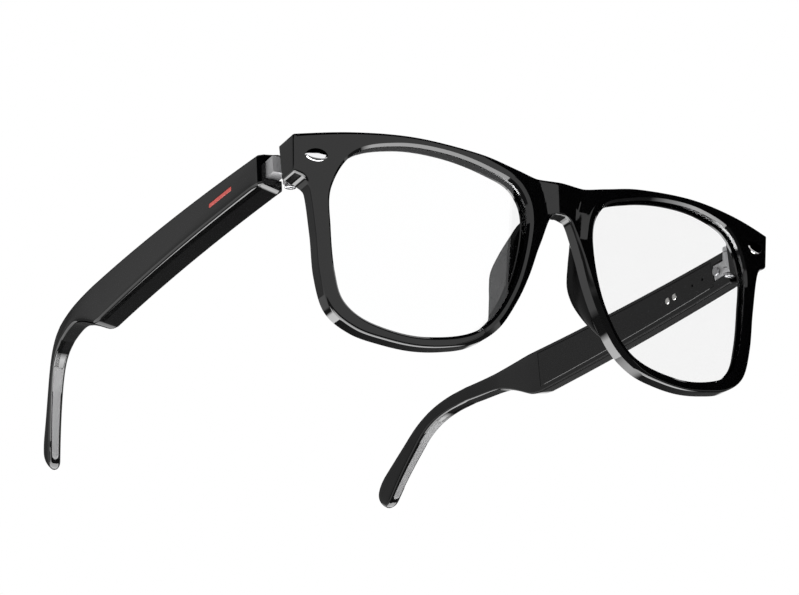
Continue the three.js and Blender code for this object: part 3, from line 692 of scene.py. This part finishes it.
temple = {
    "start": 16.1, "thick": 90.4, "neck": 36.0, "step": 2.6, "splay": 0.059, "bow": 5.1,
    "curlBehind": 4.0, "curlPull": 0.125, "curlPower": 2.3, "width": 6.0, "bottom": 14.1,
    "frontHeight": 7.6, "rearHeight": 11.5, "crown": 0.9, "corner": 0.75, "softEdge": 1.9, "foot": 0.8,
    "wall": 1.3, "coverThick": 1.2, "pocketWall": 1.7, "pocketLength": 5.8, "pocketHalf": 2.35,
    "seatStart": 22.4, "cavityStart": 23.4, "middle": 18.3, "barStart": 28.2, "barLength": 11.0, "barHigh": 1.1,
    "slotMiddle": 97.2, "slotLong": 9.0, "slotWide": 1.6, "seam": 0.07, "tipRound": 3.2, "backRound": 9.0,
    "stripInset": 0.7, "stripDeep": 1.0, "paddle": 6.0, "flare": 0.35,
    # behind the thick part: bottom, top, width, slant, crown
    "neckKeys": [(0, 14.1, 25.6, 6, 1.4, 0.9), (4.5, 14.8, 25.8, 5.95, 1.0, 0.85), (11, 17.7, 26.0, 5.7, 0.7, 0.6),
                 (17, 20.0, 26.2, 5.3, 0.4, 0.4), (23, 21.3, 26.4, 4.9, 0.2, 0.2), (36, 21.8, 26.6, 4.7, 0, 0)],
    # behind the neck: back, up, pitch in degrees
    "earKeys": [(0, 0, 0), (8, -0.7, -10), (15, -2.7, -24), (21, -6.5, -40), (26.5, -12.5, -49),
                (31.5, -18.9, -53), (35.5, -24.9, -56), (37.4, -27.9, -58)],
}
thickEnd = temple["start"] + temple["thick"]
neckEnd = thickEnd + temple["neck"]
neckMiddle = temple["bottom"] + temple["rearHeight"] - 1.4
earLine = smoothCurve(temple["earKeys"], 500)
earAlong = np.concatenate(([0], np.cumsum(np.hypot(*np.diff(earLine[:, :2], axis=0).T))))
templeTip = neckEnd + earAlong[-1]
neckLine = smoothCurve(temple["neckKeys"], 300)


def outerX(y):
    # a straight splay, less the square of the way back, less a power of the way past the thick part
    along = y - temple["start"]
    curl = temple["curlPull"] * np.maximum(0, (y - thickEnd - temple["curlBehind"]) / 10) ** temple["curlPower"]
    return halfWidth + temple["step"] + temple["splay"] * along - temple["bow"] * (along / 100) ** 2 - curl


def templeTop(y):
    # a straight rise from the front height to the rear height
    grown = (temple["rearHeight"] - temple["frontHeight"]) * (y - temple["start"]) / temple["thick"]
    return temple["bottom"] + temple["frontHeight"] + grown


def sectionAt(t):
    # bottom, top, width, slant and crown of the section at each distance t along the temple
    low, high, width, slant, crown = (np.interp(t - thickEnd, neckLine[:, 0], column) for column in neckLine.T[1:])
    thick = t <= thickEnd
    high = np.where(thick, templeTop(t), high)
    share = np.clip((t - neckEnd) / (templeTip - neckEnd), 0, 1)
    ear = t > neckEnd
    height = 4.8 - 0.2 * share
    low = np.where(ear, -height / 2, low)
    high = np.where(ear, height / 2 + temple["paddle"] * share ** 3, high)
    width = np.where(ear, 4.7 - 1.1 * share, width)
    return low, high, width, np.where(ear, 0, slant), np.where(ear, 0, crown)


def footAt(t):
    # where the section stands: straight back at first, then along the ear bend
    along = np.maximum(t - neckEnd, 0)
    back, up, turn = (np.interp(along, earAlong, column) for column in earLine.T)
    ear = t > neckEnd
    return np.where(ear, neckEnd + back, t), np.where(ear, neckMiddle + up, 0), np.radians(np.where(ear, turn, 0))


def templePoints(t, x, rise):
    # a section's points, turned by the pitch at their foot and carried out to the temple's bowed line;
    # at the ear the back edge leans outwards, more towards the tip
    y, z, turn = (value[:, None] for value in footAt(t))
    low = sectionAt(t)[0][:, None]
    lean = temple["flare"] * np.clip((t - neckEnd) / (templeTip - neckEnd), 0, 1)[:, None] ** 1.6
    back = y - rise * np.sin(turn)
    return np.stack((x + lean * (rise - low) + outerX(back), back, z + rise * np.cos(turn)), -1)


def stationsAlong(plain, doubled):
    # plain places, and two a hair apart at each place where a recess starts or ends
    hair = 1e-4
    marks = np.array(doubled)
    return np.unique(np.concatenate((np.asarray(plain), marks - hair, marks + hair)))


def sectionCorner(corner, before, after, cut):
    # a quadratic arc across each corner, in arrays over the stations
    steps = np.linspace(0, 1, 5)
    first = corner + (before - corner) * (cut / np.linalg.norm(before - corner, axis=-1))[:, None]
    last = corner + (after - corner) * (cut / np.linalg.norm(after - corner, axis=-1))[:, None]
    return np.stack([(1 - s) ** 2 * first + 2 * s * (1 - s) * corner + s ** 2 * last for s in steps], 1)


def housingMesh():
    # rings along the temple: four rounded corners, and between them points that drop into each recess where it runs
    seatEnd = thickEnd - temple["wall"] + 0.3
    cavityEnd = thickEnd - temple["wall"] - 0.7
    pocketEnd = temple["start"] + temple["pocketLength"]
    bar = (temple["barStart"] - temple["seam"], temple["barStart"] + temple["barLength"] + temple["seam"])
    slotHalf = temple["slotLong"] / 2 + temple["seam"]
    slot = (temple["slotMiddle"] - slotHalf, temple["slotMiddle"] + slotHalf)
    strip = (neckEnd + np.interp(15, earLine[:, 0], earAlong), neckEnd + np.interp(35.5, earLine[:, 0], earAlong))
    rounding = templeTip - temple["tipRound"] * (1 - np.sin(np.linspace(0, math.pi / 2 - 0.12, 12)))
    plain = np.concatenate(((temple["start"] - temple["foot"], temple["start"]),
                            np.linspace(temple["start"] + 1, thickEnd - 1, 34),
                            np.linspace(thickEnd, neckEnd, 34), np.linspace(neckEnd + 1, rounding[0] - 0.3, 64),
                            rounding))
    t = stationsAlong(plain, (pocketEnd, temple["seatStart"], temple["cavityStart"], *bar, *slot, cavityEnd,
                              seatEnd, *strip))
    low, high, width, slant, crown = sectionAt(t)
    tip = np.sqrt(np.clip(1 - np.clip((t - rounding[0]) / temple["tipRound"], 0, 1) ** 2, 0.01, 1))
    backRound = np.clip((t - templeTip) / temple["backRound"] + 1, 0, 1)
    low, high = low * np.where(t > rounding[0], tip, 1), high * np.sqrt(np.maximum(1 - backRound ** 2, 0.01))
    out = -np.clip(temple["start"] - t, 0, temple["foot"]) - width * (1 - tip) / 2
    inn = -width + width * (1 - tip) / 2
    a, b = np.stack((out, low), -1), np.stack((out, high), -1)
    c, d = np.stack((inn, high + crown), -1), np.stack((inn, low - slant), -1)
    cut = np.minimum(temple["corner"] + 0.5 * smoothStep(t, neckEnd, neckEnd + 20), 0.3 * width * tip)
    thick = t < thickEnd

    def within(start, end):
        return (t > start) & (t < end)

    def spots(x, rise):
        return np.stack((np.broadcast_to(x, t.shape), np.broadcast_to(rise, t.shape)), -1)

    def along(first, last, shares):
        return [first + (last - first) * share for share in shares]

    # the outer face carries the light bar's recess
    isBar = within(*bar)
    half = temple["barHigh"] / 2 + temple["seam"]
    barX = np.where(isBar, out - 0.9, out)
    spare = along(a, b, (0.44, 0.47, 0.53, 0.56))
    barRise = [temple["middle"] - half, temple["middle"] - np.where(isBar, half, half / 3),
               temple["middle"] + np.where(isBar, half, half / 3), temple["middle"] + half]
    outer = [np.where(thick[:, None], spots(x, rise), other)
             for x, rise, other in zip((out, barX, barX, out), barRise, spare)]
    # the top carries the speaker's slot
    isSlot = within(*slot)
    reach = temple["slotWide"] / 2 + temple["seam"]
    slotX = [-width / 2 + reach, -width / 2 + np.where(isSlot, reach, reach / 3),
             -width / 2 - np.where(isSlot, reach, reach / 3), -width / 2 - reach]
    slope = crown / width
    top = []
    for place, x in enumerate(slotX):
        x = np.where(thick, x, out + (inn - out) * (0.4, 0.45, 0.55, 0.6)[place])
        deep = np.where(isSlot & (place in (1, 2)), 1.5, 0)
        top.append(spots(x, high + slope * (out - x) - deep))
    # the inner face carries the hinge pocket, then the cover's seat and the room behind it
    isPocket, isSeat, isRoom = t < pocketEnd, within(temple["seatStart"], seatEnd), \
        within(temple["cavityStart"], cavityEnd)
    ledge = np.where(isPocket, -temple["pocketWall"], np.where(isSeat, -temple["width"] + temple["coverThick"], inn))
    floor = np.where(isPocket, -temple["pocketWall"], np.where(isRoom, -temple["wall"], ledge))
    pin = foldPin["up"]
    upper = np.where(isPocket, pin + temple["pocketHalf"], high - 0.3)
    lower = np.where(isPocket, pin - temple["pocketHalf"], low + 0.3)
    upperIn = np.where(isPocket, upper - 0.4, high - temple["wall"])
    lowerIn = np.where(isPocket, lower + 0.4, low + temple["wall"])
    spare = along(c, d, (0.3, 0.35, 0.4, 0.45, 0.55, 0.6, 0.65, 0.7))
    inner = [np.where(thick[:, None], spots(x, rise), other) for x, rise, other in zip(
        (inn, ledge, ledge, floor, floor, ledge, ledge, inn),
        (upper, upper, upperIn, upperIn, lowerIn, lowerIn, lower, lower), spare)]
    # the underside carries the grey strip's recess at the ear
    isStrip = within(*strip)
    inset = temple["stripInset"] - temple["seam"]
    bottomX = [inn + inset, inn + np.where(isStrip, inset, 2 * inset), out - np.where(isStrip, inset, 2 * inset),
               out - inset]
    bottom = []
    for place, x in enumerate(bottomX):
        x = np.where(t > rounding[0], inn + (out - inn) * (0.3, 0.4, 0.6, 0.7)[place], x)
        deep = np.where(isStrip & (place in (1, 2)), temple["stripDeep"], 0)
        bottom.append(spots(x, low - slant * (out - x) / width + deep))
    soft = np.maximum(cut, temple["softEdge"] * (t < templeTip - 8) * smoothStep(t, temple["start"],
                                                                                 temple["start"] + 1))
    ring = [sectionCorner(a, d, b, soft), np.stack(outer, 1), sectionCorner(b, a, c, cut), np.stack(top, 1),
            sectionCorner(c, b, d, cut), np.stack(inner, 1), sectionCorner(d, c, a, cut), np.stack(bottom, 1)]
    ring = np.concatenate(ring, 1)
    points = templePoints(t, ring[..., 0], ring[..., 1])
    faces, caps = bladeFaces(*ring.shape[:2])
    return points.reshape(-1, 3), faces, caps


makePair("TempleHousing", housingMesh(), "temple", "glossBlack", "temple_housing", sharp=30)


def coverMesh():
    # a thin plate with eased edges that follows the temple's sloping top
    y = np.linspace(temple["seatStart"] + temple["seam"], thickEnd - 1 - temple["seam"], 30)
    y = np.concatenate((y[:1], y[:1] + 0.12, y[1:-1], y[-1:] - 0.12, y[-1:]))
    ease = np.where((np.arange(len(y)) == 0) | (np.arange(len(y)) == len(y) - 1), 0.12, 0.0)[:, None]
    low = temple["bottom"] + 0.3 + temple["seam"] + 0 * y[:, None]
    high = (templeTop(y) - 0.3 - temple["seam"])[:, None]
    face = -temple["width"]
    x = np.array([[-0.03, 0, 0, -0.12, -0.12, -0.03]]) * 0
    x = np.concatenate((face + 1.15 + 0 * low, face + 1.15 + 0 * low, face + 0.12 + 0 * low, face + ease,
                        face + ease, face + 0.12 + 0 * low), 1)
    rise = np.concatenate((low, high, high, high - 0.12, low + 0.12, low), 1)
    points = templePoints(y, x, rise)
    faces, caps = bladeFaces(len(y), 6)
    return points.reshape(-1, 3), faces, caps


cover = {"contacts": (39.7, 42.9), "contactWide": 1.9, "pinholes": (26.8, 31.4), "pinholeWide": 0.8}


def punched(piece, sign):
    # holes for the contacts and the microphones, cut with short rods
    shapes = []
    for places, wide in ((cover["contacts"], cover["contactWide"] + 0.1), (cover["pinholes"], cover["pinholeWide"])):
        for y in places:
            points, faces, caps = turned([(wide / 2, -3), (wide / 2, 3)], 32)
            points = points[:, [2, 0, 1]] + (outerX(y) - temple["width"], y, temple["middle"])
            shapes.append((points, faces, caps))
    tool = bpy.data.objects.new("punch", newMesh("punch", turnedTo(sign, joined(shapes)), 34))
    bpy.context.scene.collection.objects.link(tool)
    cutter = piece.modifiers.new("holes", "BOOLEAN")
    cutter.object = tool
    cutter.solver = "EXACT"
    shape = bpy.data.meshes.new_from_object(piece.evaluated_get(bpy.context.evaluated_depsgraph_get()))
    piece.modifiers.clear()
    piece.data = shape
    bpy.data.objects.remove(tool)
    shape.set_sharp_from_angle(angle=math.radians(34))


makePair("TempleCover", coverMesh(), "temple", "satinBlack", "temple_cover", sharp=30)
for side, sign in (("left", 1), ("right", -1)):
    punched(bpy.data.objects[side + "TempleCover"], sign)
print("housings and covers")

# What shows on the temples

for place, y in zip(("front", "rear"), cover["contacts"]):
    points, faces, caps = turned([(0.001, 0.16), (0.3, 0.155), (0.42, 0.1), (0.5, 0.1), (0.6, 0.16), (0.82, 0.12),
                                  (0.93, 0.0), (0.95, -0.2), (0.95, -1.1)])
    points = points[:, [2, 0, 1]] * (-1, 1, 1) + (outerX(y) - temple["width"], y, temple["middle"])
    makePair("Contact" + place.title(), (points, faces, caps), "temple", "platedContact",
             "charging_contact_" + place, sharp=50)


def bentBlock(low, high, radius):
    points, faces, caps = softBlock(low, high, radius)
    points[:, 0] += outerX(points[:, 1])
    return points, faces, caps


def bentPair(name, low, high, radius, slot, finish, node, extras=()):
    blocks = [bentBlock(low, high, radius)] + [bentBlock(*extra) for extra in extras]
    makePair(name, joined(blocks), "temple", finish, node)


barHalf = temple["barHigh"] / 2
bentPair("IndicatorBar", (-0.8, temple["barStart"], temple["middle"] - barHalf),
         (0.04, temple["barStart"] + temple["barLength"], temple["middle"] + barHalf), 0.18, "indicator_red",
         "redLight", "indicator_bar")


def stripMesh():
    # a low rounded strip that follows the underside of the ear bend
    start, end = (neckEnd + np.interp(back, earLine[:, 0], earAlong) for back in (15, 35.5))
    t = np.linspace(start, end, 40)
    close = np.sqrt(np.clip(1 - (np.abs(2 * (t - start) / (end - start) - 1)) ** 40, 0.02, 1))
    low, _, width, _, _ = sectionAt(t)
    turn = np.linspace(0, 2 * math.pi, 24, endpoint=False)
    flatX = np.sign(np.cos(turn)) * np.abs(np.cos(turn)) ** 0.35
    flatV = np.sign(np.sin(turn)) * np.abs(np.sin(turn)) ** 0.45
    half = (width / 2 - temple["stripInset"]) * close
    x = -width[:, None] / 2 + half[:, None] * flatX
    rise = low[:, None] + 0.42 + 0.5 * flatV * close[:, None]
    faces, caps = bladeFaces(len(t), len(turn))
    return templePoints(t, x, rise).reshape(-1, 3), faces, caps


makePair("EarStrip", stripMesh(), "temple", "greyStrip", "ear_strip")

slotTop = templeTop(temple["slotMiddle"]) + temple["crown"] / 2
bentPair("SpeakerMesh", (-3.8, temple["slotMiddle"] - 4.5, slotTop - 0.75), (-2.2, temple["slotMiddle"] + 4.5,
                                                                             slotTop),
         0.12, "mesh_metal", "fineMesh", "speaker_mesh")

# What the temples hold

inside = {"board": (23.7, 32.0, 4.2), "battery": (56.7, 30.0, 6.0), "speaker": (90.2, 14.0, 6.4),
          "sensor": (30.2, 24.0, 4.0), "floor": 15.7}


def insideBox(key, outer, thick, middle=temple["middle"]):
    y, length, height = inside[key]
    return (outer - thick, y, middle - height / 2), (outer, y + length, middle + height / 2)


boardOuter = -temple["width"] + temple["coverThick"] + 0.3 + 0.8
chips = [((boardOuter + 0.0, y, z), (boardOuter + high, y + long, z + tall), 0.08)
         for y, z, long, tall, high in ((33.2, 16.7, 4.0, 3.2, 0.8), (38.6, 16.6, 2.6, 1.4, 0.6),
                                        (38.6, 18.6, 2.6, 1.4, 0.6), (43.0, 16.9, 3.0, 2.8, 0.7),
                                        (47.6, 17.0, 1.2, 0.7, 0.5), (47.6, 18.6, 1.2, 0.7, 0.5),
                                        (50.2, 16.9, 3.6, 2.6, 0.8))]
bentPair("CircuitBoard", *insideBox("board", boardOuter, 0.8), 0.08, "board_green", "circuitGreen", "circuit_board",
         extras=chips)
bentPair("Microphone", (boardOuter + 0.3, 25.5, 17.0), (boardOuter + 1.3, 28.1, 19.6), 0.2, "dark_metal", "darkCan",
         "microphone")
bentPair("TouchSensor", *insideBox("sensor", -1.6, 0.3), 0.06, "sensor_film", "sensorFilm", "touch_sensor")
bentPair("Battery", *insideBox("battery", -1.9, 2.4, inside["floor"] + 3.0), 0.7, "battery_foil", "pouchFoil",
         "battery")
bentPair("Speaker", *insideBox("speaker", -1.6, 2.6, inside["floor"] + 3.2), 0.6, "dark_metal", "darkCan", "speaker")


def springCoil():
    # a wire carried along a helix of six turns
    coils, sides, wire, wide = 6, 8, 0.11, 0.52
    t = np.linspace(0, coils * 2 * math.pi, coils * 20)
    turn = np.linspace(0, 2 * math.pi, sides, endpoint=False)
    low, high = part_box("left_hinge_spring")
    span = (high[1] - low[1]) * 1000 - 2 * wire
    radius = wide + wire * np.cos(turn)[None]
    x = radius * np.cos(t)[:, None]
    z = radius * np.sin(t)[:, None]
    y = (t / t[-1] * span)[:, None] + wire * np.sin(turn)[None]
    middle = foldPin["up"]
    xAt = outerX(temple["start"]) - temple["pocketWall"] - 0.6 - 0.65
    points = np.stack((x + xAt, y + foldPin["back"] + 3.4 + wire, z + middle), -1)
    faces, caps = bladeFaces(len(t), sides)
    return points.reshape(-1, 3), faces, caps


makePair("HingeSpring", springCoil(), "temple", "screwSteel", "hinge_spring")
print("inside pieces")

# Stage, light and camera

view = {"place": (-268.92, -348.48, -187.94), "ahead": (0.49625, 0.77880, 0.38366),
        "up": (-0.15118, -0.35765, 0.92154), "lens": 89.07, "floor": -0.36}


def turnToFrame(direction):
    # the same turn about x as the points take
    x, y, z = direction
    return Vector((x, y * math.cos(pitch) + z * math.sin(pitch), z * math.cos(pitch) - y * math.sin(pitch)))


def addCamera():
    camera = bpy.data.objects.new("camera", bpy.data.cameras.new("camera"))
    camera.data.lens = view["lens"]
    camera.data.sensor_width = 36
    camera.data.clip_start = 0.01
    ahead = turnToFrame(view["ahead"]).normalized()
    right = ahead.cross(turnToFrame(view["up"])).normalized()
    turn = Matrix((right, right.cross(ahead), -ahead)).transposed().to_4x4()
    camera.matrix_world = Matrix.Translation(Vector(toFrame(view["place"]))) @ turn
    bpy.context.scene.collection.objects.link(camera)
    bpy.context.scene.camera = camera


def addFloor():
    mesh = bpy.data.meshes.new("floor")
    turn = np.linspace(0, 2 * math.pi, 96, endpoint=False)
    rim = np.stack((np.cos(turn) * 2.5, np.sin(turn) * 2.5, np.full(96, view["floor"])), -1)
    mesh.from_pydata(rim.tolist(), [], [list(range(96))])
    floor = bpy.data.objects.new("floor", mesh)
    bpy.context.scene.collection.objects.link(floor)
    mesh.materials.append(finish("paleFloor", lambda nodes: {
        "Base Color": nodes.mix(nodes.noise(4.0), (0.80, 0.80, 0.80), (0.84, 0.84, 0.84)), "Roughness": 0.8}))
    floor.visible_glossy = False


def addLamp():
    light = bpy.data.lights.new("softbox", "AREA")
    light.shape = "DISK"
    light.size = studio["lampSize"]
    light.energy = studio["lampPower"]
    lamp = bpy.data.objects.new("softbox", light)
    lamp.location = (0, 0, studio["lampHeight"])
    lamp.visible_glossy = False
    lamp.visible_camera = False
    bpy.context.scene.collection.objects.link(lamp)


studio = {"lampSize": 3.0, "lampHeight": 2.2, "lampPower": 55.0, "room": 1.0, "sideWall": 0.36, "rearWall": 0.07,
          "dim": 0.12, "low": 8.0}


def rising(wire, start, end):
    # nothing below the start, everything above the end, and a straight ramp between
    share = (wire - start) * (1 / (end - start))
    return share.calc("MINIMUM", share.calc("MAXIMUM", share, 0.0), 1.0)


def addWorld():
    # the room is white, with a dark wall ahead and to the right, a dim band below the horizon and a bright sheet
    # under it
    world = bpy.data.worlds.new("studio")
    bpy.context.scene.world = world
    world.use_nodes = True
    nodes = Nodes(world.node_tree)
    split = nodes.tree.nodes.new("ShaderNodeSeparateXYZ")
    feed(split.inputs[0], nodes.add("ShaderNodeTexCoord", output=0))
    x, y, z = (Wire(output) for output in split.outputs)
    back = y * math.cos(pitch) - z * math.sin(pitch)
    up = y * math.sin(pitch) + z * math.cos(pitch)
    turn = x.calc("ARCTAN2", x, 0.0 - back)
    right = (turn > math.radians(31)) * (turn < math.radians(110)) * (up > -0.2)
    above = (up > 0.2) * (turn > math.radians(-110)) * (turn < math.radians(110))
    dark = x.calc("MAXIMUM", right, above)
    sheet = rising(-up, 0.62, 0.74) * (back > -0.375)
    low = x.calc("MAXIMUM", sheet, rising(-up, 0.40, 0.46) * (x < -0.2) * (back > 0.5))
    band = x.calc("MAXIMUM", rising(-up, 0.26, 0.32), rising(-up, -0.1, -0.04) * (back > 0) * (x > 0.3)) * (1.0 - low)
    wall = studio["sideWall"] - (studio["sideWall"] - studio["rearWall"]) * rising(x, -0.45, -0.1)
    shade = 1.0 - (1.0 - wall) * (back > 0.3) * (x < 0.45) * (up > 0)
    level = studio["room"] * shade * (1.0 - dark) * (1.0 - band) * (1.0 - low) + studio["dim"] * band + studio["low"] * low
    seen = nodes.add("ShaderNodeLightPath")
    strength = level * (1.0 - seen) + seen
    backdrop = nodes.add("ShaderNodeBackground", sockets={"Color": (1, 1, 1, 1), "Strength": strength})
    nodes.add("ShaderNodeOutputWorld", sockets={"Surface": backdrop})


addCamera()
addFloor()
addLamp()
addWorld()
bpy.context.scene.view_settings.view_transform = "Standard"
print("stage, light and camera")
